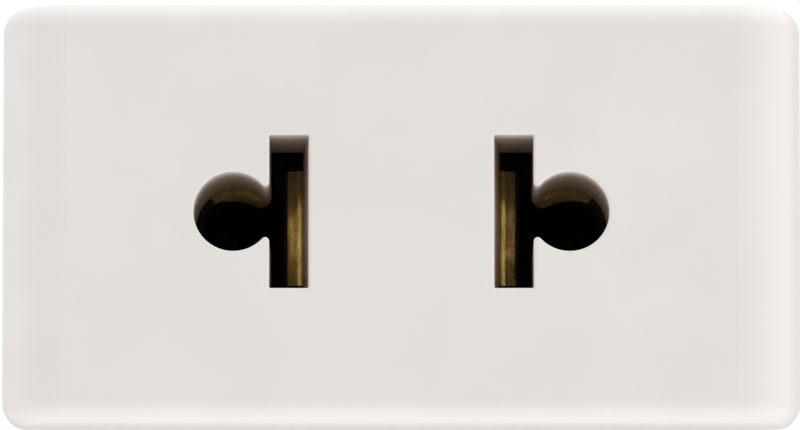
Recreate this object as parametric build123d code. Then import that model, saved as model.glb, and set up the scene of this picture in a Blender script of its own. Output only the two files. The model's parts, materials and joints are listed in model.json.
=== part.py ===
from build123d import *
import os

# Frame: face plane at Y = 0 and looking towards -Y, X to the right, Z up, Y runs back into the wall box.
# All sizes are in millimetres. The right pole is drawn and the left pole is its mirror image.

# Face and shell of the front cover
face_length = 45.3
face_height = 23.8
seat_depth = 5.4
end_round = 3.7
edge_round = 1.35
inner_round = 0.8
inner_chamfer = 0.5
face_wall = 2.2
cover_wall = 1.6
lip_depth = 0.4
lip_overhang = 0.3
ledge_width = 2.3
web_thickness = 1.2
web_gap = 0.3

# Plug pattern: flat blades and round pins share each aperture
blade_pitch = 12.7
pin_pitch = 19.0
slot_width = 2.24
slot_height = 8.7
pin_hole_d = 4.5
cusp_round = 0.22
slot_corner = 0.06
slot_draft = 0.41
draft_start = 0.4
mouth_chamfer = 0.12
guide_depth = 8.5
guide_wall = 1.2
pin_d = 4.0

# Strap that the module snaps into, and the catches that hold it there
strap_thickness = 2.0
strap_play = 0.1
catch_reach = 1.1
catch_land = 0.8
catch_run = 3.0
catch_width = 4.0
catch_inset = 3.0

# Latches that hold the cover on the base
latch_offset = 12.0
latch_width = 7.0
latch_thickness = 1.1
latch_reach = 6.1
latch_play = 0.15
latch_lead = 0.5
window_width = 4.4
window_start = 2.2
window_depth = 2.4
tooth_play = 0.2
tooth_land = 0.5

# Rear base
base_inset = 2.3
body_round = 0.8
rear_round = 0.6
total_depth = 28.6
base_front = 4.2
spigot_play = 0.3
end_wall = 1.7
side_wall = 1.5
rib_wall = 1.2
floor_wall = 2.7
rear_wall = 1.5
well_wall = 1.05
middle_rib = 1.5
entry_chamfer = 0.5
rim_chamfer = 0.3

# Contact clip, one folded strip
strip = 0.4
clip_gap = 0.3
leaf_half = 3.3
lip_offset = 1.3
roll_offset = 0.42
roll_radius = 1.8
nose_reach = 0.25
nose_drop = 0.31
nose_radius = 0.35
root_offset = 1.05
root_depth = 7.2
root_radius = 1.5
trough_length = 5.8
wing_half = 3.9
wing_offset = 1.35
flare_radius = 0.45
leg_width = 1.2
fold_radius = 0.6
foot_overhang = 1.6

# Terminal bar, rivet, screw and clamp
bar_thickness = 1.2
bar_inset = 0.3
bar_head_width = 5.9
bar_corner = 0.6
bar_play = 0.2
rivet_x = 10.4
rivet_d = 2.0
rivet_play = 0.02
rivet_head_d = 3.0
rivet_head = 0.6
rivet_tail_d = 2.8
rivet_tail = 0.7
terminal_inset = 2.9
screw_d = 3.5
thread_play = 0.05
collar_d = 5.0
collar_height = 0.9
screw_end = 0.5
head_d = 6.0
head_height = 1.8
head_recess = 1.2
drive_width = 1.0
slot_drive = (5.2, 0.9)
cross_drive = (3.6, 1.2)
screw_turns = {"left_upper": 20, "left_lower": 68, "right_upper": -35, "right_lower": 8}
wire_gap = 2.6
clamp_width = 6.0
clamp_thickness = 0.9
clamp_lip = 1.0
clamp_play = 0.2
well_play = 0.35

# Positions that follow from the sizes above
half_length = face_length / 2
half_height = face_height / 2
half_base = half_height - base_inset
half_body = half_length - ledge_width
inside_x = half_length - cover_wall
inside_z = half_height - cover_wall
blade_x = blade_pitch / 2
pin_x = pin_pitch / 2
shoulder = seat_depth + lip_depth
latch_end = shoulder + latch_reach
latch_inner = half_base + latch_play
latch_outer = latch_inner + latch_thickness
head_top = total_depth - head_recess
head_seat = head_top - head_height
clamp_front = head_seat - clamp_thickness
floor = clamp_front - wire_gap
bar_front = floor - bar_thickness
bar_stem_x = blade_x - root_offset + bar_inset
bar_end_x = half_body - end_wall - bar_play
bar_head_x = bar_end_x - bar_head_width
bar_head_half = half_base - side_wall - bar_play
terminal_x = bar_end_x - terminal_inset
well_x = clamp_width / 2 + well_play
well_z = (half_base - well_wall - middle_rib / 2) / 2
clamp_half = well_z - well_play
terminal_z = middle_rib / 2 + well_z
catch_z = half_base - catch_inset
clip_front = guide_depth + clip_gap
clip_rear = bar_front - strip / 2
wing_x = blade_x + wing_offset
jaw_radius = (pin_d + strip) / 2
neck_z = ((jaw_radius + flare_radius) ** 2 - (pin_x - wing_x - flare_radius) ** 2) ** 0.5
guide_inner_x = blade_x - slot_width / 2 - guide_wall
guide_outer_x = pin_x + pin_hole_d / 2 + guide_wall
guide_half = slot_height / 2 + guide_wall


def block(x, y, z):
    """A box given by its low and high limits along each axis."""
    middle = Pos((x[0] + x[1]) / 2, (y[0] + y[1]) / 2, (z[0] + z[1]) / 2)
    return middle * Box(x[1] - x[0], y[1] - y[0], z[1] - z[0])


def front_prism(outline, y_from, y_to):
    """An outline drawn in the front view (x, z), run back from one depth to another."""
    return extrude(Plane.XZ.offset(-y_from) * outline, amount=y_to - y_from, dir=(0, 1, 0))


def top_prism(outline, z_from, z_to):
    """An outline drawn in the top view (x, y), run up from one height to another."""
    return extrude(Plane.XY.offset(z_from) * outline, amount=z_to - z_from, dir=(0, 0, 1))


def side_prism(outline, x_from, x_to):
    """An outline drawn in the side view (y, z), run along the length."""
    return extrude(Plane.YZ.offset(x_from) * outline, amount=x_to - x_from, dir=(1, 0, 0))


def left_and_right(part):
    return part + mirror(part, about=Plane.YZ)


def up_and_down(part):
    return part + mirror(part, about=Plane.XY)


def keyhole(grow=0.0):
    """The right aperture: a flat-blade slot with the round pin hole on its outer side."""
    slot = Pos(blade_x, 0) * Rectangle(slot_width + 2 * grow, slot_height + 2 * grow)
    return slot + Pos(pin_x, 0) * Circle(pin_hole_d / 2 + grow)


def rounded_keyhole():
    """The aperture with its cusps rounded and the slot's corners broken."""
    outline = keyhole()
    cusps = outline.vertices().filter_by(lambda v: abs(v.Y) < pin_hole_d / 2)
    outline = fillet(cusps, cusp_round)
    corners = outline.vertices().filter_by(lambda v: abs(v.Y) > slot_height / 2 - 0.001)
    return chamfer(corners, slot_corner)


def slot_ramp():
    """The drafted inner wall of a slot, which guides a blade towards its contact."""
    wall = blade_x - slot_width / 2
    root = wall - guide_wall / 2
    outline = Polygon(
        (root, draft_start),
        (wall, draft_start),
        (wall + slot_draft, guide_depth),
        (root, guide_depth),
        align=None,
    )
    half = (slot_height + guide_wall) / 2
    return top_prism(outline, -half, half)


def make_front_cover():
    """The white shell: rounded face, guide walls of the two apertures and four latch tongues."""
    plan = Pos(0, seat_depth / 2) * Rectangle(face_length, seat_depth)
    plan = fillet(plan.vertices().group_by(Axis.Y)[0], end_round)
    cover = top_prism(plan, -half_height, half_height)
    side_edges = cover.faces().filter_by(Axis.Z).edges()
    cover = fillet(side_edges.filter_by(lambda e: e.center().Y < seat_depth - 0.01), edge_round)

    cavity = block((-inside_x, inside_x), (face_wall, seat_depth + 1), (-inside_z, inside_z))
    cavity = fillet(cavity.edges().filter_by(Axis.Y), inner_round)
    cavity = chamfer(cavity.faces().sort_by(Axis.Y)[0].edges(), inner_chamfer)
    cover -= cavity

    lip_y = (seat_depth - cover_wall, shoulder)
    lip_x = half_body + lip_overhang
    lip = block((-lip_x, lip_x), lip_y, (inside_z, half_height))
    cover += up_and_down(lip)

    latch_x = (latch_offset - latch_width / 2, latch_offset + latch_width / 2)
    latch_y = (seat_depth - cover_wall, latch_end)
    latch = block(latch_x, latch_y, (latch_inner, latch_outer))
    tip = latch.faces().sort_by(Axis.Y)[-1].edges().sort_by(Axis.Z)[0]
    latch = chamfer(tip, latch_lead)
    window_x = (latch_offset - window_width / 2, latch_offset + window_width / 2)
    window_y = (shoulder + window_start, shoulder + window_start + window_depth)
    latch -= block(window_x, window_y, (half_base, half_height))
    cover += left_and_right(up_and_down(latch))

    cover += left_and_right(front_prism(keyhole(guide_wall), face_wall / 2, guide_depth))
    half_web = web_thickness / 2
    web_y = (face_wall / 2, base_front - web_gap)
    cover += block((-guide_inner_x - guide_wall / 2, guide_inner_x + guide_wall / 2), web_y, (-half_web, half_web))
    rib_z = (guide_half - guide_wall / 2, inside_z + cover_wall / 2)
    rib = block((blade_x - half_web, blade_x + half_web), web_y, rib_z)
    cover += left_and_right(up_and_down(rib))

    cover -= left_and_right(front_prism(rounded_keyhole(), -1, guide_depth + 1))
    cover += left_and_right(slot_ramp())
    face = cover.faces().filter_by(Axis.Y).sort_by(Axis.Y)[0]
    mouths = [edge for wire in face.inner_wires() for edge in wire.edges()]
    return chamfer(mouths, mouth_chamfer)


def strap_catch():
    """A wedge on the end wall that snaps behind the strap."""
    front = seat_depth + strap_thickness + strap_play
    tip = half_body + catch_reach
    root = half_body - end_wall / 2
    outline = Polygon(
        (root, front),
        (tip, front),
        (tip, front + catch_land),
        (half_body, front + catch_run),
        (root, front + catch_run),
        align=None,
    )
    return top_prism(outline, catch_z - catch_width / 2, catch_z + catch_width / 2)


def latch_tooth():
    """A wedge on the long side that fills the window of the cover's tongue."""
    start = shoulder + window_start + tooth_play
    stop = shoulder + window_start + window_depth - tooth_play
    top = latch_outer - tooth_play
    root = half_base - rib_wall / 2
    outline = Polygon(
        (start, root),
        (start, half_base),
        (stop - tooth_land, top),
        (stop, top),
        (stop, root),
        align=None,
    )
    half = window_width / 2 - tooth_play
    return side_prism(outline, latch_offset - half, latch_offset + half)


def make_rear_base():
    """The dark moulding that holds both poles, with screw wells behind and wire windows in its ends."""
    base = front_prism(RectangleRounded(2 * half_body, 2 * half_base, body_round), shoulder, total_depth)
    base = fillet(base.faces().sort_by(Axis.Y)[-1].edges(), rear_round)
    spigot = Rectangle(2 * (half_body - spigot_play), 2 * (inside_z - spigot_play))
    base += front_prism(spigot, base_front, shoulder)

    pocket_start = base_front - 1
    pocket_half = guide_half + spigot_play
    head_half = bar_head_half + bar_play
    head_x = (bar_head_x - bar_play, half_body - end_wall)
    pole = block(
        (guide_inner_x - spigot_play, guide_outer_x + spigot_play),
        (pocket_start, floor),
        (-pocket_half, pocket_half),
    )
    pole += block(head_x, (pocket_start, floor), (-head_half, head_half))
    stem_half = leaf_half + bar_play
    pole += block((rivet_x, head_x[1]), (pocket_start, floor), (-stem_half, stem_half))
    rivet_room = Pos(rivet_x, 0) * Circle(rivet_tail_d / 2 + clamp_play)
    pole += front_prism(rivet_room, floor - 0.1, floor + rivet_tail + clamp_play)

    well = block(
        (terminal_x - well_x, terminal_x + well_x),
        (floor - 0.1, total_depth + 1),
        (terminal_z - well_z, terminal_z + well_z),
    )
    window_z = (terminal_z - clamp_half, terminal_z + clamp_half)
    well += block((terminal_x, half_body + 1), (floor, clamp_front), window_z)
    pole += up_and_down(well)
    base -= left_and_right(pole)
    rear = base.faces().sort_by(Axis.Y)[-1]
    base = chamfer([edge for wire in rear.inner_wires() for edge in wire.edges()], rim_chamfer)
    ends = base.faces().filter_by(Axis.X).filter_by(lambda f: abs(f.center().X) > half_body - 0.001)
    base = chamfer([edge for end in ends for wire in end.inner_wires() for edge in wire.edges()], entry_chamfer)

    centre_x = guide_inner_x - spigot_play - rib_wall
    base -= block((-centre_x, centre_x), (pocket_start, floor - rib_wall), (-head_half, head_half))

    recess_x = terminal_x - well_x - rib_wall
    recess_z = half_base - rear_wall
    recess_y = (floor + floor_wall, total_depth + 1)
    base -= block((-recess_x, recess_x), recess_y, (-recess_z, recess_z))
    half_rib = rib_wall / 2
    rib_y = (floor + floor_wall / 2, total_depth - rib_wall)
    base += block((-half_rib, half_rib), rib_y, (-recess_z - half_rib, recess_z + half_rib))
    rib_end = recess_x + half_rib
    base += block((-rib_end, rib_end), rib_y, (-half_rib, half_rib))

    room_x = latch_width / 2 + latch_play
    room = block(
        (latch_offset - room_x, latch_offset + room_x),
        (pocket_start, total_depth),
        (half_base, half_height),
    )
    base -= left_and_right(up_and_down(room))
    base += left_and_right(up_and_down(latch_tooth()))
    base += left_and_right(up_and_down(strap_catch()))
    return base


def make_contact_clip():
    """One folded strip: sprung leaf with a rolled lip, foot, and two legs that carry the pin trough."""
    root_x = blade_x - root_offset
    lip_y = clip_front + strip / 2
    leaf_line = FilletPolyline(
        (blade_x - lip_offset, lip_y),
        (blade_x - roll_offset, lip_y),
        (blade_x + nose_reach, lip_y + nose_drop),
        (root_x, clip_front + root_depth),
        (root_x, clip_rear),
        (rivet_x + foot_overhang, clip_rear),
        radius=(roll_radius, nose_radius, root_radius, fold_radius),
    )
    clip = top_prism(trace(leaf_line, strip), -leaf_half, leaf_half)

    pin = Vector(pin_x, 0)
    flare = Vector(wing_x + flare_radius, neck_z)
    inward = (pin - flare).normalized()
    neck = flare + inward * flare_radius
    turn = flare + (inward - Vector(1, 0)).normalized() * flare_radius
    edges = [Line((wing_x, wing_half), (wing_x, neck_z)), ThreePointArc((wing_x, neck_z), turn, neck)]
    edges += [mirror(edge, about=Plane.XZ) for edge in edges]
    bow = ThreePointArc(neck, (pin_x + jaw_radius, 0), (neck.X, -neck.Y))
    hat = trace([bow, *edges], strip)
    clip += front_prism(hat, clip_front, clip_front + trough_length)

    leg_line = FilletPolyline(
        (wing_x, clip_front + trough_length / 2),
        (wing_x, clip_rear),
        (rivet_x, clip_rear),
        radius=fold_radius,
    )
    leg = top_prism(trace(leg_line, strip), wing_half - leg_width, wing_half)
    clip += up_and_down(leg)
    hole = Pos(rivet_x, 0) * Circle(rivet_d / 2)
    return clip - front_prism(hole, clip_rear - 1, bar_front + 1)


def make_terminal_bar():
    """The thick bar under a clip, with an extruded tapped collar for each clamp screw."""
    stem = Pos((bar_stem_x + bar_end_x) / 2, 0) * Rectangle(bar_end_x - bar_stem_x, 2 * leaf_half)
    head = Pos((bar_head_x + bar_end_x) / 2, 0) * Rectangle(bar_end_x - bar_head_x, 2 * bar_head_half)
    outline = stem + head
    outline = chamfer(outline.vertices(), bar_corner)
    bar = front_prism(outline, bar_front, floor)
    collar = Pos(terminal_x, terminal_z) * Circle(collar_d / 2)
    bar += up_and_down(front_prism(collar, bar_front - collar_height, floor))
    tapped = Pos(terminal_x, terminal_z) * Circle(screw_d / 2)
    bar -= up_and_down(front_prism(tapped, bar_front - collar_height - 1, floor + 1))
    hole = Pos(rivet_x, 0) * Circle(rivet_d / 2)
    return bar - front_prism(hole, bar_front - 1, floor + 1)


def turned(profile):
    """A solid of revolution from (radius, depth) points, round a line that runs straight back."""
    return revolve(Polygon(*profile, align=None), axis=Axis.Y)


def make_contact_rivet():
    """The rivet that joins a clip's foot to its bar, drawn with both heads formed."""
    seat = bar_front - strip
    shank = rivet_d / 2 - rivet_play
    head = rivet_head_d / 2
    tail = rivet_tail_d / 2
    rivet = turned([
        (0, seat - rivet_head),
        (head - rivet_head, seat - rivet_head),
        (head, seat),
        (shank, seat),
        (shank, floor),
        (tail, floor),
        (tail, floor + rivet_tail),
        (0, floor + rivet_tail),
    ])
    return Pos(rivet_x, 0, 0) * rivet


def make_terminal_screw(turn):
    """A pan head clamp screw with a slot and a cross drive, its thread drawn plain."""
    shank_end = bar_front - collar_height - screw_end
    shank = screw_d / 2 - thread_play
    head = head_d / 2
    crown = head_height * 0.45
    screw = turned([
        (0, shank_end),
        (shank, shank_end),
        (shank, head_seat),
        (head, head_seat),
        (head, head_top - crown),
        (head - crown, head_top),
        (0, head_top),
    ])
    for (length, depth), angle in ((slot_drive, 0), (cross_drive, 90)):
        groove = block(
            (-length / 2, length / 2),
            (head_top - depth, head_top + 1),
            (-drive_width / 2, drive_width / 2),
        )
        screw -= Rot(0, angle, 0) * groove
    return Rot(0, turn, 0) * screw


def make_wire_clamp():
    """The pressed saddle under a screw head, its two lips turned towards the bar."""
    half_x = clamp_width / 2
    clamp = block((-half_x, half_x), (clamp_front, head_seat), (-clamp_half, clamp_half))
    lip_z = (clamp_half - clamp_thickness, clamp_half)
    clamp += up_and_down(block((-half_x, half_x), (clamp_front - clamp_lip, head_seat), lip_z))
    bends = clamp.edges().filter_by(Axis.X).filter_by(
        lambda e: e.center().Y > head_seat - 0.01
    )
    clamp = chamfer(bends, clamp_thickness * 0.5)
    return clamp - front_prism(Circle(screw_d / 2 + clamp_play), clamp_front - 1, head_seat + 1)


os.makedirs("parts", exist_ok=True)
export_step(make_front_cover(), "parts/front_cover.step")
export_step(make_rear_base(), "parts/rear_base.step")

for node, made in (
    ("contact_clip", make_contact_clip()),
    ("terminal_bar", make_terminal_bar()),
    ("contact_rivet", make_contact_rivet()),
):
    export_step(made, f"parts/{node}_right.step")
    export_step(mirror(made, about=Plane.YZ), f"parts/{node}_left.step")

clamp = make_wire_clamp()
for side, x in (("left", -terminal_x), ("right", terminal_x)):
    for level, z in (("upper", terminal_z), ("lower", -terminal_z)):
        place = Pos(x, 0, z)
        screw = make_terminal_screw(screw_turns[f"{side}_{level}"])
        export_step(place * screw, f"parts/terminal_screw_{side}_{level}.step")
        export_step(place * clamp, f"parts/wire_clamp_{side}_{level}.step")
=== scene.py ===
import json
import math

import bmesh
import bpy
from bpy.props import FloatProperty, FloatVectorProperty, IntProperty, PointerProperty
from mathutils import Matrix, Vector


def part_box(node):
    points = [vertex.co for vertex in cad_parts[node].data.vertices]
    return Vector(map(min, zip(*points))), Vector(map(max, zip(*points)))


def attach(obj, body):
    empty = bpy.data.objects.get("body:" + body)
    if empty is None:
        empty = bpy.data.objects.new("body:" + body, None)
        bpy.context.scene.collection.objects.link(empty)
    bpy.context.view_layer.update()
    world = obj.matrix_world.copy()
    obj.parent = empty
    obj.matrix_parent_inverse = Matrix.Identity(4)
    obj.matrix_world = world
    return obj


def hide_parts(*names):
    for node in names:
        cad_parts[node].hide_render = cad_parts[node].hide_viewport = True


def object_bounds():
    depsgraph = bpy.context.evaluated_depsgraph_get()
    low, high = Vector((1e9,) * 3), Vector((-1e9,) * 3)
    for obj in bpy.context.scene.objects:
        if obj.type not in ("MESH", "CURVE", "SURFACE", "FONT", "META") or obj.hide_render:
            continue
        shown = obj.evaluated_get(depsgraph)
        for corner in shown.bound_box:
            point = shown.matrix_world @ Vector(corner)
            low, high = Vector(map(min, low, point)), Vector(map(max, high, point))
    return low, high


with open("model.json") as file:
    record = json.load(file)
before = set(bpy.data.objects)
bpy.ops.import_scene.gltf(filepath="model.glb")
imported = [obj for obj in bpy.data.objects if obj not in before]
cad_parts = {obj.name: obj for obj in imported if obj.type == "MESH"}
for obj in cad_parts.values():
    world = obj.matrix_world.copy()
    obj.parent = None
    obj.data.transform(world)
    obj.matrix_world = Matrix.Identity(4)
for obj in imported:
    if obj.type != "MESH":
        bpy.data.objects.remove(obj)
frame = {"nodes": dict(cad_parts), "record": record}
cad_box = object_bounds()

bl_info = {
    "name": "Socket module",
    "version": (1, 0, 0),
    "blender": (4, 5, 0),
    "location": "View3D > Sidebar > Socket module",
    "description": "Finishes, terminal hardware and studio for a two-pole socket module",
    "category": "Object",
}

MM = 0.001
SIDES = ("left", "right")
LEVELS = ("upper", "lower")
TERMINALS = [f"{side}_{level}" for side in SIDES for level in LEVELS]
DRIVE_TURNS = dict(zip(TERMINALS, (20, 68, -35, 8)))

# Places of the right pole's blade and pin and of the strap's seat, as the record gives them
MOUNTS = {mount["name"]: mount["pos_m"] for mount in frame["record"]["mounts"]}
BLADE_X = MOUNTS["blade_slot_right"][0]
PIN_X = MOUNTS["pin_hole_right"][0]
SEAT_Y = MOUNTS["strap_seat_right"][1]


def length_value(name, description, default):
    return FloatProperty(name=name, description=description, default=default, unit="LENGTH")


def share_value(name, description, default):
    return FloatProperty(
        name=name, description=description, default=default, min=0.0, soft_max=1.0, subtype="FACTOR"
    )


def colour_value(name, description, default):
    return FloatVectorProperty(
        name=name, description=description, default=default, min=0.0, max=1.0, subtype="COLOR"
    )


class CoverLook(bpy.types.PropertyGroup):
    """Satin moulded plastic of the front cover."""

    colour: colour_value("Colour", "Warm white of the resin", (0.80, 0.774, 0.752))
    # Painted shade, with some brass dust, on the aperture walls
    aperture_shade_and_dust: colour_value("Aperture tint", "Brass dust and shade on the walls", (0.56, 0.43, 0.32))
    aperture_reach: length_value("Aperture reach", "Depth over which the aperture walls darken", 2.8 * MM)
    # Painted shade on the rounded ends and the long edges
    rim_shade: colour_value("Grime", "Grey of the handled ends and edges", (0.52, 0.49, 0.45))
    seam_depth: length_value("Seam depth", "Parting line behind the face", 4.3 * MM)
    grain: length_value("Grain", "Size of the moulded grain", 0.16 * MM)
    grain_height: length_value("Grain height", "Height of the moulded grain", 0.0016 * MM)
    roughness: share_value("Roughness", "Middle roughness", 0.42)


class BaseLook(bpy.types.PropertyGroup):
    """Matte dark plastic of the rear base."""

    colour: colour_value("Colour", "Near-black of the resin", (0.020, 0.020, 0.022))
    flow: colour_value("Flow lines", "Grey of the moulding's flow lines", (0.045, 0.045, 0.048))
    dust: colour_value("Dust", "Dust on the floor of the rear recess", (0.13, 0.12, 0.11))
    scuff: colour_value("Scuffs", "Scuffed rear rim", (0.10, 0.10, 0.105))
    grain: length_value("Grain", "Size of the eroded grain", 0.22 * MM)
    grain_height: length_value("Grain height", "Height of the eroded grain", 0.010 * MM)
    mark_radius: length_value("Ejector mark radius", "Radius of the round ejector marks", 1.25 * MM)
    roughness: share_value("Roughness", "Middle roughness", 0.56)


class MetalLook(bpy.types.PropertyGroup):
    """Rolled brass of the contacts and plated steel of the terminals."""

    brass: colour_value("Brass", "Clean brass strip", (0.64, 0.43, 0.12))
    # The tarnish colour also paints shade on the contact clips
    tarnish_and_shade: colour_value("Tarnish", "Brown bloom on the brass", (0.25, 0.147, 0.040))
    # The black colour paints shade deep in the contact clips and darkens the terminal bars' fronts
    oxide: colour_value("Oxide", "Black oxide deep in the contacts", (0.016, 0.011, 0.008))
    streak: colour_value("Streak", "Shade of the rolled streaks", (0.55, 0.50, 0.45))
    zinc: colour_value("Zinc", "Passivated zinc on steel", (0.55, 0.55, 0.53))
    straw: colour_value("Straw", "Straw tint of the passivation", (0.57, 0.51, 0.37))
    # A darker colour inside the screw drives
    drive_darkening: colour_value("Drive dirt", "Dirt in the screw drives", (0.14, 0.13, 0.12))
    sheared: colour_value("Sheared", "Dull sheared ends of the saddles", (0.26, 0.25, 0.23))


class TerminalSizes(bpy.types.PropertyGroup):
    """Sizes of the clamp screws and saddles that the solids leave plain."""

    thread_pitch: length_value("Thread pitch", "Pitch of the clamp screws", 0.6 * MM)
    thread_depth: length_value("Thread depth", "Depth of the thread", 0.34 * MM)
    shank_radius: length_value("Shank radius", "Outside radius of the thread", 1.7 * MM)
    head_height: length_value("Head height", "Height of the pan head", 1.8 * MM)
    head_crown: share_value("Head crown", "Share of the head's height that is rounded", 0.45)
    head_chamfer: length_value("Head chamfer", "Chamfer under the head", 0.08 * MM)
    drive_width: length_value("Drive width", "Width of the slot and the cross", 1.0 * MM)
    slot_length: length_value("Slot length", "Length of the driver slot", 5.2 * MM)
    slot_depth: length_value("Slot depth", "Depth of the driver slot", 0.9 * MM)
    cross_length: length_value("Cross length", "Length of the short arm of the cross", 3.6 * MM)
    cross_depth: length_value("Cross depth", "Depth of the short arm of the cross", 1.2 * MM)
    edge_break: length_value("Edge break", "Rounding of sharp edges", 0.06 * MM)
    plate: length_value("Saddle plate", "Thickness of the saddle", 0.9 * MM)
    bend_radius: length_value("Bend radius", "Outside radius of the saddle's bends", 0.6 * MM)
    hole_radius: length_value("Hole radius", "Screw hole in the saddle", 1.95 * MM)
    grooves: IntProperty(
        name="Grip grooves", description="Grooves under each saddle", default=4, min=1, max=8
    )
    groove_depth: length_value("Groove depth", "Depth of the grip grooves", 0.22 * MM)
    groove_spread: share_value("Groove spread", "Share of the saddle's width that has grooves", 0.86)


class StudioSizes(bpy.types.PropertyGroup):
    """Camera, lamps and floor."""

    distance: length_value("Distance", "Camera to face plane", 0.500)
    drop: length_value("Drop", "Camera below the centre of the face", 0.057)
    view_width: length_value("View width", "Width seen at the face plane", 45.14 * MM)
    aim_x: length_value("Aim x", "Point aimed at, to the right", -0.08 * MM)
    aim_z: length_value("Aim z", "Point aimed at, upwards", -0.22 * MM)
    floor_size: length_value("Floor size", "Half the width of the floor", 1.5)
    floor_gap: length_value("Floor gap", "Floor below the lowest point", 0.05 * MM)
    floor_colour: colour_value("Floor", "Pale floor", (0.82, 0.82, 0.81))
    room: share_value("Room light", "Even light of the white room", 0.724)
    lamp_distance: length_value("Lamp distance", "Soft boxes from the middle", 0.36)
    top_lamp: share_value("Top lamp", "Light of the soft box overhead", 0.47)
    low_lamp: share_value("Low lamp", "Light of the soft box below", 0.50)
    right_lamp: share_value("Right lamp", "Light of the soft box on the right", 0.30)
    left_lamp: share_value("Left lamp", "Light of the soft box on the left", 0.20)


class SocketModule(bpy.types.PropertyGroup):
    """All values of the socket module."""

    cover: PointerProperty(type=CoverLook)
    base: PointerProperty(type=BaseLook)
    metal: PointerProperty(type=MetalLook)
    terminal: PointerProperty(type=TerminalSizes)
    studio: PointerProperty(type=StudioSizes)


class Wire:
    """A shader socket in Python arithmetic: each operation on it adds one Math node."""

    def __init__(self, tree, socket):
        self.tree = tree
        self.socket = socket

    def _math(self, operation, *values):
        return self.tree.node("ShaderNodeMath", {"operation": operation}, dict(enumerate(values)))

    def __add__(self, other):
        return self._math("ADD", self, other)

    def __sub__(self, other):
        return self._math("SUBTRACT", self, other)

    def __rsub__(self, other):
        return self._math("SUBTRACT", other, self)

    def __mul__(self, other):
        return self._math("MULTIPLY", self, other)

    def __pow__(self, other):
        return self._math("POWER", self, other)

    def __rpow__(self, other):
        return self._math("POWER", other, self)

    def __abs__(self):
        return self._math("ABSOLUTE", self)

    def __lt__(self, other):
        return self._math("LESS_THAN", self, other)

    def __gt__(self, other):
        return self._math("GREATER_THAN", self, other)

    __radd__ = __add__
    __rmul__ = __mul__

    def most(self, other):
        return self._math("MAXIMUM", self, other)

    def least(self, other):
        return self._math("MINIMUM", self, other)

    def sine(self):
        return self._math("SINE", self)


class NodeTree:
    """A node tree whose nodes all come from one method."""

    def __init__(self, owner):
        self.owner = owner
        owner.use_nodes = True
        self.tree = owner.node_tree
        self.tree.nodes.clear()

    def node(self, kind, settings=None, sockets=None, out=0):
        """One node: its settings first, then the values or links of its sockets."""
        made = self.tree.nodes.new(kind)
        for key, value in (settings or {}).items():
            setattr(made, key, value)
        for key, value in (sockets or {}).items():
            if isinstance(value, Wire):
                self.tree.links.new(value.socket, made.inputs[key])
            else:
                made.inputs[key].default_value = value
        return None if out is None else Wire(self, made.outputs[out])

    def close(self, shader, output="ShaderNodeOutputMaterial"):
        self.node(output, None, {"Surface": shader}, out=None)
        return self.owner


class Finish(NodeTree):
    """The node tree of one material."""

    def __init__(self, name):
        super().__init__(bpy.data.materials.new(name))

    def place(self, centre=(0, 0, 0), turn=(0, 0, 0), scale=(1, 1, 1)):
        """Object coordinates, moved so that centre is the origin, then turned and scaled."""
        spot = self.node("ShaderNodeTexCoord", out="Object")
        moved = self.node("ShaderNodeVectorMath", {"operation": "SUBTRACT"}, {0: spot, 1: centre})
        return self.node("ShaderNodeMapping", None, {"Vector": moved, "Rotation": turn, "Scale": scale})

    def axes(self, spot):
        made = self.node("ShaderNodeSeparateXYZ", None, {0: spot})
        return [Wire(self, socket) for socket in made.socket.node.outputs]

    def noise(self, spot, size, detail=2.0, rough=0.5):
        """Noise of 0 to 1 whose grains are about size metres across."""
        return self.node(
            "ShaderNodeTexNoise", {"noise_dimensions": "3D"},
            {"Vector": spot, "Scale": 1.0 / size, "Detail": detail, "Roughness": rough},
        )

    def pits(self, spot, size):
        """The distance from scattered points about size metres apart, as a share of that size."""
        return self.node(
            "ShaderNodeTexVoronoi", {"feature": "F1", "distance": "EUCLIDEAN"},
            {"Vector": spot, "Scale": 1.0 / size},
        )

    def rise(self, value, start, stop, low=0.0, high=1.0):
        """A smooth step from low to high as value goes from start to stop."""
        return self.node(
            "ShaderNodeMapRange", {"interpolation_type": "SMOOTHSTEP"},
            {"Value": value, "From Min": start, "From Max": stop, "To Min": low, "To Max": high},
        )

    def mix(self, share, first, second, how="MIX"):
        """Two colours, each a link or three numbers, mixed by share."""
        first, second = [c if isinstance(c, Wire) else (*c, 1.0) for c in (first, second)]
        # The Mix node has a set of sockets for each data type, and these are the ones for colours
        settings = {"data_type": "RGBA", "blend_type": how}
        return self.node("ShaderNodeMix", settings, {0: share, 6: first, 7: second}, out=2)

    def bump(self, height, distance):
        return self.node("ShaderNodeBump", None, {"Height": height, "Distance": distance, "Strength": 1.0})

    def surface(self, **sockets):
        """Closes the tree with the principled shader, its sockets named in words joined by low lines."""
        named = {}
        for key, value in sockets.items():
            named[key.replace("_", " ").title().replace("Ior", "IOR")] = value
        return self.close(self.node("ShaderNodeBsdfPrincipled", None, named))


def set_material(obj, material):
    obj.data.materials.clear()
    obj.data.materials.append(material)


def dress(nodes, material):
    """Gives CAD nodes a finish."""
    for name in nodes:
        if name not in frame["nodes"]:
            raise RuntimeError(f"the packed model has no node {name}")
        set_material(frame["nodes"][name], material)


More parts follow.
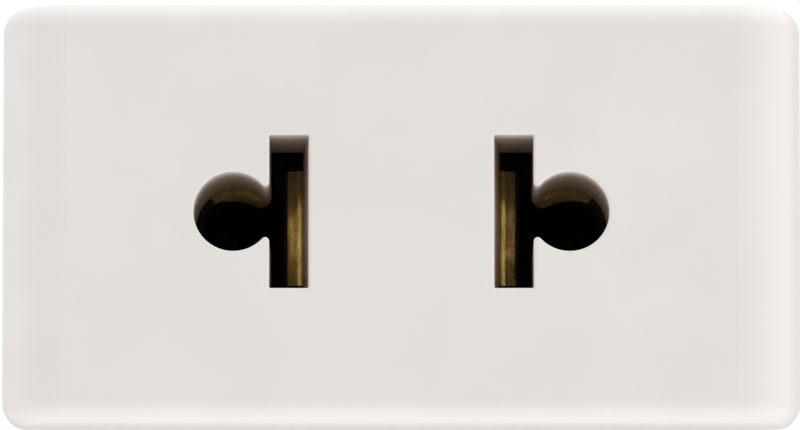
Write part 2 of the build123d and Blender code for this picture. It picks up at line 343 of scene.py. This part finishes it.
def cover_finish(look):
    """Warm white resin: fine grain, faint mottle, handled rim, parting line, and painted shade in the
    apertures and on the rim.
    """
    f = Finish("cover_white_satin")
    spot = f.place()
    x, y, z = f.axes(spot)
    side_x = abs(x)
    side_z = abs(z)
    low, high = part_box("front_cover")

    mottle = f.noise(spot, 7 * MM, 3.0)
    cloud = f.noise(spot, 24 * MM, 2.0)
    shaded = [0.985 * c for c in look.colour]
    bright = [min(1.0, 1.01 * c) for c in look.colour]
    warm = [look.colour[0], 0.992 * look.colour[1], 0.965 * look.colour[2]]
    tone = f.mix(f.rise(mottle, 0.35, 0.65), shaded, bright)
    tone = f.mix(f.rise(cloud, 0.42, 0.62, 0.0, 0.35), tone, warm)

    # Painted shade, with some brass dust, darkens the aperture walls with depth, inside a box round the
    # apertures a little larger than they are
    near_apertures = (side_x < PIN_X + 2.9 * MM) * (side_z < 4.75 * MM)
    aperture_wall_shade = f.rise(y, 0.10 * MM, look.aperture_reach) * near_apertures
    shade_blotches = f.noise(spot, 0.7 * MM, 3.0)
    tone = f.mix(aperture_wall_shade * f.rise(shade_blotches, 0.2, 0.8, 0.82, 1.0), tone, look.aperture_shade_and_dust)

    # Painted shade on the rounded ends, more on the right, and along the long edges, more below
    end_shade = f.rise(y, 1.2 * MM, 2.6 * MM) * f.rise(side_x, high.x - 1.4 * MM, high.x - 0.6 * MM)
    end_shade = end_shade * f.rise(x, low.x, high.x, 0.08, 0.45)
    long_edge_shade = f.rise(y, 0.2 * MM, 4.6 * MM) * f.rise(side_z, high.z - 1.3 * MM, high.z - 0.3 * MM)
    long_edge_shade = long_edge_shade * f.rise(z, high.z, low.z, 0.10, 0.42)
    before_seat = y < SEAT_Y + 0.05 * MM
    rim_shade = end_shade.most(long_edge_shade) * f.rise(shade_blotches, 0.2, 0.7, 0.75, 1.0) * before_seat
    tone = f.mix(rim_shade, tone, look.rim_shade)

    end_rim = f.rise(side_x, high.x - 3.0 * MM, high.x - 0.4 * MM)
    edge_rim = f.rise(side_z, high.z - 1.1 * MM, high.z - 0.1 * MM)
    smear = f.noise(spot, 4.5 * MM, 4.0, 0.6)
    rough = look.roughness + f.rise(smear, 0.3, 0.7, -0.035, 0.045)
    rough = rough - f.rise(end_rim + edge_rim, 0.0, 1.0, 0.0, 0.07)

    grain = f.noise(spot, look.grain, 2.0)
    orange_peel = f.noise(spot, 2.2 * MM, 1.0)
    outside = side_x + side_z > 11.7 * MM
    seam = f.rise(abs(y - look.seam_depth), 0.07 * MM, 0.02 * MM) * outside
    normal = f.bump(grain + orange_peel * 1.4 + seam * 6.0, look.grain_height)
    return f.surface(base_color=tone, roughness=rough, normal=normal, ior=1.47)


def base_finish(look):
    """Near-black resin: eroded grain, flow lines, scuffed rear rim, dusty recess and ejector marks."""
    f = Finish("base_black_matte")
    spot = f.place()
    x, y, z = f.axes(spot)
    side_x = abs(x)
    side_z = abs(z)
    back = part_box("rear_base")[1].y

    mottle = f.noise(spot, 5 * MM, 3.0)
    tone = f.mix(f.rise(mottle, 0.35, 0.7), look.colour, [1.7 * c for c in look.colour])
    flow = f.noise(f.place(scale=(0.25, 1.0, 1.0)), 1.6 * MM, 4.0, 0.6)
    tone = f.mix(f.rise(flow, 0.58, 0.75, 0.0, 0.5), tone, look.flow)

    # The rear recess lies between the terminals and is open to the back
    recess = (side_x < 10.8 * MM) * (side_z < 8.0 * MM) * (y > back - 8.6 * MM)
    recess_floor = f.rise(y, back - 3.2 * MM, back - 3.7 * MM) * recess
    dust = f.noise(spot, 1.1 * MM, 5.0, 0.65)
    tone = f.mix(recess_floor * f.rise(dust, 0.5, 0.72, 0.0, 0.35), tone, look.dust)

    scratch = f.noise(f.place(turn=(0.5, 0.2, 0.3), scale=(1.0, 0.12, 1.0)), 0.35 * MM, 3.0)
    handled = f.rise(f.noise(spot, 6 * MM, 2.0), 0.45, 0.7)
    worn = f.rise(scratch, 0.60, 0.70) * f.rise(y, back - 1.4 * MM, back - 0.1 * MM) * handled
    tone = f.mix(worn * 0.35, tone, look.scuff)

    # One ejector mark on the floor of each quarter of the recess
    mark_x = abs(side_x - 5.6 * MM)
    mark_z = abs(side_z - 4.3 * MM)
    from_mark = (mark_x ** 2.0 + mark_z ** 2.0) ** 0.5
    ring = f.rise(abs(from_mark - look.mark_radius), 0.13 * MM, 0.03 * MM) * recess
    disc = f.rise(from_mark, look.mark_radius, look.mark_radius - 0.1 * MM) * recess

    grain = f.noise(spot, look.grain, 3.0, 0.6)
    pits = f.rise(f.pits(spot, 0.35 * MM), 0.0, 0.5, 0.0, 0.5)
    height = grain * (1 - disc * 0.75) + pits - ring * 5.0
    rough = look.roughness + f.rise(mottle, 0.3, 0.7, -0.06, 0.08) - disc * 0.12
    return f.surface(base_color=tone, roughness=rough, normal=f.bump(height, look.grain_height), ior=1.5)


def clip_shade_and_wear(f, spot, patch):
    """A clip's brown and black shares, which are painted shade, and the relief of its leaf's flats and its
    trough's lead-in.
    """
    x, y, z = f.axes(spot)
    side = abs(x)
    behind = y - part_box("contact_clip_right")[0].y
    trough = side > BLADE_X + 0.9 * MM
    leaf = 1 - trough

    # Blades rub a bright strip along the leaf; the brown above it, at its free edge and over the trough is
    # painted shade, and the leaf's flat is browner towards the bottom
    flat = f.rise(side, BLADE_X - 0.44 * MM, BLADE_X - 0.36 * MM) * leaf
    brown_and_shade = f.rise(z + trough * 6 * MM + flat * 0.3 * MM, 0.8 * MM, 2.2 * MM, 0.0, 0.75)
    brown_and_shade = brown_and_shade + f.rise(side, BLADE_X - 0.57 * MM, BLADE_X - 0.67 * MM, 0.0, 0.8)
    brown_and_shade = brown_and_shade + flat * f.rise(z, -1.4 * MM, -2.1 * MM, 0.38, 0.66)

    # Painted shade: the trough's lower jaw is black, and so is all that lies deep, sooner towards the
    # trough's far end
    jaw = f.rise(z - (side - PIN_X) * 1.2, 0.3 * MM, -0.2 * MM) * trough
    far_end = f.rise(side, PIN_X + 0.1 * MM, PIN_X + 1.3 * MM, 0.0, 2.4 * MM)
    ragged = behind + (patch - 0.5) * (0.1 * MM + trough * 0.9 * MM) + far_end
    deep = f.rise(ragged, 0.23 * MM + trough * 2.9 * MM, 0.32 * MM + trough * 4.4 * MM)

    # Relief in metres: the leaf's rolled lip is coined into two flats, and the trough's mouth opens out
    slope = ((side - BLADE_X + 0.35 * MM) * 0.21).most(0.0)
    flats = (behind - slope) * leaf * (behind < 0.3 * MM)
    lead_in = behind.least(4.4 * MM) * trough * 2.4
    return brown_and_shade, f.rise(jaw + deep, 0.0, 1.0), flats + lead_in


def bar_wear(f, spot, patch):
    """A terminal bar's brown share, scratched by wires, its front's black share, and shallow dents."""
    y = f.axes(spot)[1]
    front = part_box("terminal_bar_right")[0].y
    drawn = f.noise(f.place(turn=(0, 0.4, 0), scale=(1, 1, 0.06)), 0.25 * MM, 2.0)
    bloom = f.rise(f.noise(spot, 3.2 * MM, 3.0), 0.5, 0.75, 0.0, 0.3)
    brown_and_shade = bloom - f.rise(drawn, 0.56, 0.68, 0.0, 0.5)
    oxide = f.rise(y + (patch - 0.5) * 1.5 * MM, front + 1.4 * MM, front + 0.4 * MM)
    return brown_and_shade, oxide, patch * 0.01 * MM


def brass_finish(name, look, streak, bloom, wear_and_shade):
    """Rolled brass strip: streaks along the rolling direction, brown bloom, flecks, and its part's own marks
    and painted shade.
    """
    f = Finish(name)
    spot = f.place()
    rolled = f.noise(f.place(scale=streak), 0.10 * MM, 3.0, 0.6)
    patch = f.noise(spot, 1.9 * MM, 4.0, 0.6)
    fleck = f.noise(spot, 0.13 * MM, 2.0)
    brown_and_shade, oxide, relief = wear_and_shade(f, spot, patch)
    # Tarnish with, on the clips, painted shade
    share = brown_and_shade + f.rise(patch, 0.40, 0.72, 0.0, bloom) + f.rise(fleck, 0.50, 0.70, 0.0, 0.4)
    tone = f.mix(share, look.brass, look.tarnish_and_shade)
    tone = f.mix(f.rise(rolled, 0.35, 0.65, 0.0, 0.45), tone, look.streak, "MULTIPLY")
    # Black of painted shade deep in the clips, and on the bars' fronts
    tone = f.mix(oxide, tone, look.oxide)
    rough = 0.24 + f.rise(rolled, 0.3, 0.7, 0.0, 0.12) + share * 0.25 + oxide * 0.4
    dull = f.rise(oxide + share * 0.5, 0.0, 1.0, 0.0, 0.9)
    texture = (rolled + fleck * 1.4) * 0.006 * MM
    normal = f.bump(texture + relief, 1.0)
    return f.surface(base_color=tone, metallic=1 - dull, roughness=rough, normal=normal)


def steel_finish(name, look, centre, rings, drive_top=None, sheared_at=None):
    """Zinc plated steel round a centre: rings, straw tint, dull spots, and a darker drive or sheared ends.
    """
    f = Finish(name)
    spot = f.place(centre)
    x, y, z = f.axes(spot)
    from_axis = (x ** 2.0 + z ** 2.0) ** 0.5
    wobble = f.noise(spot, 0.9 * MM, 3.0)
    lathe = (from_axis * (2 * math.pi / rings) + wobble * 2.0).sine()
    tint = f.noise(spot, 2.4 * MM, 3.0)
    spots = f.noise(spot, 0.45 * MM, 4.0, 0.65)
    tone = f.mix(f.rise(tint, 0.42, 0.66, 0.0, 0.75), look.zinc, look.straw)
    tone = f.mix(f.rise(spots, 0.60, 0.70, 0.0, 0.5), tone, [0.55 * c for c in look.zinc])
    rough = 0.27 + f.rise(spots, 0.45, 0.7, 0.0, 0.2) + lathe * 0.03
    if drive_top:
        # Darker inside the drives
        drive = f.rise(y, drive_top - 0.1 * MM, drive_top - 0.6 * MM) * (from_axis < 2.62 * MM)
        drive = drive * (y > drive_top - 1.5 * MM)
        tone = f.mix(drive * f.rise(tint, 0.3, 0.6, 0.65, 0.9), tone, look.drive_darkening)
        rough = rough + drive * 0.2
    if sheared_at:
        ends = f.rise(abs(x), sheared_at - 0.15 * MM, sheared_at - 0.03 * MM)
        tone = f.mix(ends * 0.7, tone, look.sheared)
        rough = rough + ends * 0.25
    normal = f.bump(lathe * 0.5 + spots, 0.008 * MM)
    return f.surface(base_color=tone, metallic=1.0, roughness=rough, normal=normal)


def add_object(name, bm, material):
    """Makes an object from a bmesh, which it frees."""
    mesh = bpy.data.meshes.new(name)
    bm.to_mesh(mesh)
    bm.free()
    obj = bpy.data.objects.new(name, mesh)
    bpy.context.scene.collection.objects.link(obj)
    if material:
        set_material(obj, material)
    return obj


def new_piece(name, bm, material, replaced):
    """Makes a piece from a bmesh, hangs it on the root body, and hides the CAD node it replaces."""
    piece = add_object(name, bm, material)
    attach(piece, "root")
    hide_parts(replaced)
    return piece


def chain(bm, points):
    """Vertices at (radius, depth) points in the plane of X and Y, joined in a row by edges."""
    verts = [bm.verts.new((radius, depth, 0.0)) for radius, depth in points]
    edges = [bm.edges.new(pair) for pair in zip(verts, verts[1:])]
    return verts + edges


def cut(bm, cutter):
    """Takes the cutter's shape out of a closed bmesh and gives back the result."""
    blank = add_object("blank", bm, None)
    tool = add_object("cutter", cutter, None)
    step = blank.modifiers.new("cut", "BOOLEAN")
    step.operation = "DIFFERENCE"
    step.solver = "EXACT"
    step.object = tool
    seen = blank.evaluated_get(bpy.context.evaluated_depsgraph_get())
    result = bmesh.new()
    result.from_mesh(seen.to_mesh())
    seen.to_mesh_clear()
    for solid in (blank, tool):
        mesh = solid.data
        bpy.data.objects.remove(solid)
        bpy.data.meshes.remove(mesh)
    if not result.faces:
        raise RuntimeError("a cut left nothing")
    return result


def box_at(size, centre, turn=Matrix.Identity(4)):
    """A box of its own bmesh, turned about its centre."""
    bm = bmesh.new()
    place = Matrix.Translation(centre) @ turn @ Matrix.Diagonal((*size, 1.0))
    bmesh.ops.create_cube(bm, size=1.0, matrix=place)
    return bm


def screw_head(sizes, radius, seat, top):
    """A pan head and plain neck turned from one profile, with a slot and a cross cut into the head."""
    head = bmesh.new()
    crown = sizes.head_crown * (top - seat)
    chamfer = sizes.head_chamfer
    neck = sizes.shank_radius - sizes.thread_depth / 2
    neck_end = seat - 2 * sizes.thread_pitch
    arc = [
        (radius - crown + crown * math.sin(turn), top - crown + crown * math.cos(turn))
        for turn in (math.radians(step * 15) for step in range(7))
    ]
    under = [
        (radius, seat + chamfer), (radius - chamfer, seat),
        (neck, seat), (neck, neck_end), (0.0, neck_end),
    ]
    profile = chain(head, [(0.0, top), *arc, *under])
    bmesh.ops.spin(
        head, geom=profile, cent=(0, 0, 0), axis=(0, 1, 0), dvec=(0, 0, 0),
        angle=2 * math.pi, steps=56, use_merge=True,
    )
    bmesh.ops.remove_doubles(head, verts=head.verts[:], dist=0.001 * MM)
    bmesh.ops.recalc_face_normals(head, faces=head.faces[:])

    head = cut(head, box_at((sizes.slot_length, 2 * sizes.slot_depth, sizes.drive_width), (0, top, 0)))
    head = cut(head, box_at((sizes.drive_width, 2 * sizes.cross_depth, sizes.cross_length), (0, top, 0)))
    bmesh.ops.remove_doubles(head, verts=head.verts[:], dist=0.03 * MM)
    bmesh.ops.dissolve_degenerate(head, dist=0.01 * MM, edges=head.edges[:])

    crease = math.radians(40)
    sharp = [edge for edge in head.edges if edge.is_manifold and edge.calc_face_angle() > crease]
    bmesh.ops.bevel(
        head, geom=sharp, offset=sizes.edge_break, offset_type="OFFSET", segments=2, profile=0.5,
        affect="EDGES", clamp_overlap=True, material=-1,
    )
    bmesh.ops.dissolve_degenerate(head, dist=0.002 * MM, edges=head.edges[:])
    return head


def screw_thread(sizes, start, stop):
    """A screw thread swept up its helix from one pitch of its profile."""
    thread = bmesh.new()
    pitch = sizes.thread_pitch
    crest = sizes.shank_radius
    root = crest - sizes.thread_depth
    turns = max(1, int((stop - start) / pitch) - 1)
    steps = 28
    rise = [(root, 0.0), (root, 0.10), (crest, 0.44), (crest, 0.56), (root, 0.90), (root, 1.0)]
    profile = chain(thread, [(radius, start + share * pitch) for radius, share in rise])
    bmesh.ops.spin(
        thread, geom=profile, cent=(0, 0, 0), axis=(0, 1, 0), dvec=(0, pitch / steps, 0),
        angle=2 * math.pi * turns, steps=steps * turns,
    )
    bmesh.ops.remove_doubles(thread, verts=thread.verts[:], dist=0.004 * MM)
    bmesh.ops.holes_fill(thread, edges=[edge for edge in thread.edges if edge.is_boundary], sides=0)
    bmesh.ops.recalc_face_normals(thread, faces=thread.faces[:])
    if thread.calc_volume(signed=True) < 0:
        bmesh.ops.reverse_faces(thread, faces=thread.faces[:])
    return thread


def join(bm, other):
    """Copies another bmesh into this one, and frees it."""
    mesh = bpy.data.meshes.new("joined")
    other.to_mesh(mesh)
    other.free()
    bm.from_mesh(mesh)
    bpy.data.meshes.remove(mesh)


def saddle(sizes, low, high):
    """A pressed saddle: plate with two turned lips, rounded bends, screw hole and grip grooves."""
    half = (high - low) / 2
    centre = (low + high) / 2
    lip = sizes.plate
    under = high.y - sizes.plate
    bm = bmesh.new()
    corners = [
        (low.y, -half.z), (high.y, -half.z), (high.y, half.z), (low.y, half.z),
        (low.y, half.z - lip), (under, half.z - lip), (under, lip - half.z), (low.y, lip - half.z),
    ]
    outline = bm.faces.new([bm.verts.new((-half.x, depth, height)) for depth, height in corners])
    sheet = bmesh.ops.extrude_face_region(bm, geom=[outline])
    moved = [part for part in sheet["geom"] if isinstance(part, bmesh.types.BMVert)]
    bmesh.ops.translate(bm, verts=moved, vec=(2 * half.x, 0, 0))
    bmesh.ops.recalc_face_normals(bm, faces=bm.faces[:])
    bends = [
        edge for edge in bm.edges
        if abs(edge.verts[0].co.x - edge.verts[1].co.x) > half.x
        and all(abs(vert.co.y - high.y) < 0.01 * MM for vert in edge.verts)
    ]
    bmesh.ops.bevel(
        bm, geom=bends, offset=sizes.bend_radius, offset_type="OFFSET", segments=5, profile=0.5,
        affect="EDGES", material=-1,
    )

    drill = bmesh.new()
    bmesh.ops.create_cone(
        drill, cap_ends=True, segments=40, depth=6 * MM,
        radius1=sizes.hole_radius, radius2=sizes.hole_radius,
        matrix=Matrix.Translation((0, high.y, 0)) @ Matrix.Rotation(math.radians(90), 4, "X"),
    )
    bm = cut(bm, drill)
    groove_side = sizes.groove_depth * math.sqrt(2)
    on_edge = Matrix.Rotation(math.radians(45), 4, "Z")
    for index in range(sizes.grooves):
        across = (index + 0.5) / sizes.grooves * 2 - 1
        spot = (across * half.x * sizes.groove_spread, under, 0)
        bm = cut(bm, box_at((groove_side, groove_side, 2 * (half.z - lip)), spot, on_edge))
    bmesh.ops.translate(bm, verts=bm.verts[:], vec=(centre.x, 0, centre.z))
    return bm


def soften(piece, width):
    """A small live bevel on the piece's sharp edges."""
    bevel = piece.modifiers.new("soft_edges", "BEVEL")
    bevel.width = width
    bevel.segments = 2
    bevel.limit_method = "ANGLE"
    bevel.angle_limit = math.radians(35)


class SOCKET_OT_cover(bpy.types.Operator):
    """Give the front cover its white resin"""

    bl_idname = "socket_module.cover"
    bl_label = "Finish front cover"

    def execute(self, context):
        dress(["front_cover"], cover_finish(context.scene.socket_module.cover))
        return {"FINISHED"}


class SOCKET_OT_base(bpy.types.Operator):
    """Give the rear base its dark resin"""

    bl_idname = "socket_module.base"
    bl_label = "Finish rear base"

    def execute(self, context):
        dress(["rear_base"], base_finish(context.scene.socket_module.base))
        return {"FINISHED"}


class SOCKET_OT_contacts(bpy.types.Operator):
    """Give the contact clips, terminal bars and rivets their brass"""

    bl_idname = "socket_module.contacts"
    bl_label = "Finish contacts"

    def execute(self, context):
        look = context.scene.socket_module.metal
        clip = brass_finish("contact_brass_rolled", look, (1.0, 1.0, 0.05), 0.35, clip_shade_and_wear)
        bar = brass_finish("bar_brass_rolled", look, (1.0, 1.0, 0.08), 0.6, bar_wear)
        dress([f"contact_clip_{side}" for side in SIDES], clip)
        for kind in ("terminal_bar", "contact_rivet"):
            dress([f"{kind}_{side}" for side in SIDES], bar)
        return {"FINISHED"}


class SOCKET_OT_screws(bpy.types.Operator):
    """Build the four clamp screws with their threads and drives"""

    bl_idname = "socket_module.screws"
    bl_label = "Build terminal screws"

    def execute(self, context):
        values = context.scene.socket_module
        sizes = values.terminal
        for terminal in TERMINALS:
            node = f"terminal_screw_{terminal}"
            low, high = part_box(node)
            axis = ((low.x + high.x) / 2, 0, (low.z + high.z) / 2)
            seat = high.y - sizes.head_height
            bm = screw_head(sizes, (high.x - low.x) / 2, seat, high.y)
            turn = Matrix.Rotation(math.radians(DRIVE_TURNS[terminal]), 3, "Y")
            bmesh.ops.rotate(bm, verts=bm.verts[:], cent=(0, 0, 0), matrix=turn)
            join(bm, screw_thread(sizes, low.y, seat))
            bmesh.ops.translate(bm, verts=bm.verts[:], vec=axis)
            steel = steel_finish(f"screw_steel_{terminal}", values.metal, axis, 0.11 * MM, drive_top=high.y)
            new_piece(f"clamp_screw_{terminal}", bm, steel, node)
        return {"FINISHED"}


class SOCKET_OT_saddles(bpy.types.Operator):
    """Build the four wire saddles with their bends and grip grooves"""

    bl_idname = "socket_module.saddles"
    bl_label = "Build wire saddles"

    def execute(self, context):
        values = context.scene.socket_module
        sizes = values.terminal
        for terminal in TERMINALS:
            node = f"wire_clamp_{terminal}"
            low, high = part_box(node)
            axis = ((low.x + high.x) / 2, 0, (low.z + high.z) / 2)
            end = (high.x - low.x) / 2
            steel = steel_finish(f"saddle_steel_{terminal}", values.metal, axis, 0.6 * MM, sheared_at=end)
            bm = saddle(sizes, low, high)
            piece = new_piece(f"wire_saddle_{terminal}", bm, steel, node)
            soften(piece, sizes.edge_break)
        return {"FINISHED"}


def floor_finish(colour):
    """Pale floor that is seen from above and is clear from below."""
    f = Finish("floor_pale")
    cloud = f.noise(f.place(), 120 * MM, 2.0)
    tone = f.mix(f.rise(cloud, 0.3, 0.7), colour, [0.985 * c for c in colour])
    matte = f.node("ShaderNodeBsdfDiffuse", None, {"Color": tone})
    clear = f.node("ShaderNodeBsdfTransparent")
    under = f.node("ShaderNodeNewGeometry", out="Backfacing")
    return f.close(f.node("ShaderNodeMixShader", None, {0: under, 1: matte, 2: clear}))


def white_room(level):
    """Even white light, and plain white behind the object and in its reflections."""
    room = NodeTree(bpy.data.worlds.new("white_room"))
    white = 0.0
    for kind in ("Is Camera Ray", "Is Glossy Ray", "Is Transmission Ray"):
        white = room.node("ShaderNodeLightPath", out=kind).most(white)
    light = room.node("ShaderNodeBackground", None, {"Color": (1.0, 0.995, 0.985, 1.0), "Strength": level})
    seen = room.node("ShaderNodeBackground", None, {"Color": (1.0, 1.0, 1.0, 1.0), "Strength": 1.0})
    mixed = room.node("ShaderNodeMixShader", None, {0: white, 1: light, 2: seen})
    return room.close(mixed, "ShaderNodeOutputWorld")


def add_lamp(name, towards, distance, size, level):
    """A soft box, not seen in reflections, that lights a surface facing it to level times its colour."""
    lamp = bpy.data.lights.new(name, "AREA")
    lamp.shape = "RECTANGLE"
    lamp.size, lamp.size_y = size
    lamp.energy = level * (math.pi * distance) ** 2
    obj = bpy.data.objects.new(name, lamp)
    bpy.context.scene.collection.objects.link(obj)
    obj.location = Vector(towards).normalized() * distance
    obj.rotation_euler = (-obj.location).to_track_quat("-Z", "Y").to_euler()
    obj.visible_camera = False
    obj.visible_glossy = False


def add_camera(studio):
    """A camera in front of the face and below its centre, that sees the given width of the face plane."""
    camera = bpy.data.cameras.new("camera")
    spot = Vector((0.0, -studio.distance, -studio.drop))
    aim = Vector((studio.aim_x, 0.0, studio.aim_z))
    camera.lens = camera.sensor_width * (aim - spot).length / studio.view_width
    camera.clip_start = 0.01
    camera.clip_end = 20.0
    holder = bpy.data.objects.new("camera", camera)
    bpy.context.scene.collection.objects.link(holder)
    holder.location = spot
    holder.rotation_euler = (aim - spot).to_track_quat("-Z", "Y").to_euler()
    return holder


class SOCKET_OT_stage(bpy.types.Operator):
    """Build the floor, the white room, the soft boxes and the camera"""

    bl_idname = "socket_module.stage"
    bl_label = "Build stage"

    def execute(self, context):
        scene = context.scene
        studio = scene.socket_module.studio
        scene.view_settings.view_transform = "Standard"

        bm = bmesh.new()
        level = Matrix.Translation((0, 0, cad_box[0].z - studio.floor_gap))
        bmesh.ops.create_grid(bm, x_segments=8, y_segments=8, size=studio.floor_size, matrix=level)
        floor = add_object("floor", bm, floor_finish(studio.floor_colour))
        floor.visible_diffuse = False
        floor.visible_shadow = False

        scene.world = white_room(studio.room)
        wide = (0.34, 0.26)
        tall = (0.26, 0.30)
        for name, towards, size, light in (
            ("top_box", (0.1, -0.12, 1.0), wide, studio.top_lamp),
            ("low_box", (0.1, -0.12, -1.0), wide, studio.low_lamp),
            ("right_box", (1.0, -0.31, 0.1), tall, studio.right_lamp),
            ("left_box", (-1.0, -0.12, 0.1), tall, studio.left_lamp),
        ):
            add_lamp(name, towards, studio.lamp_distance, size, light)
        scene.camera = add_camera(studio)
        return {"FINISHED"}


STEPS = (
    SOCKET_OT_cover,
    SOCKET_OT_base,
    SOCKET_OT_contacts,
    SOCKET_OT_screws,
    SOCKET_OT_saddles,
    SOCKET_OT_stage,
)


class VIEW3D_PT_socket_module(bpy.types.Panel):
    """The socket module's operators and values"""

    bl_label = "Socket module"
    bl_space_type = "VIEW_3D"
    bl_region_type = "UI"
    bl_category = "Socket module"

    def draw(self, context):
        for step in STEPS:
            self.layout.operator(step.bl_idname)
        values = context.scene.socket_module
        for group in (values.cover, values.base, values.metal, values.terminal, values.studio):
            box = self.layout.box()
            for name in group.bl_rna.properties.keys():
                if name not in {"name", "rna_type"}:
                    box.prop(group, name)


CLASSES = (
    CoverLook,
    BaseLook,
    MetalLook,
    TerminalSizes,
    StudioSizes,
    SocketModule,
    *STEPS,
    VIEW3D_PT_socket_module,
)


def register():
    for cls in CLASSES:
        bpy.utils.register_class(cls)
    bpy.types.Scene.socket_module = PointerProperty(type=SocketModule)


def unregister():
    del bpy.types.Scene.socket_module
    for cls in reversed(CLASSES):
        bpy.utils.unregister_class(cls)


def main():
    register()
    bpy.ops.socket_module.cover()
    bpy.ops.socket_module.base()
    bpy.ops.socket_module.contacts()
    bpy.ops.socket_module.screws()
    bpy.ops.socket_module.saddles()
    bpy.ops.socket_module.stage()


if __name__ == "__main__":
    main()
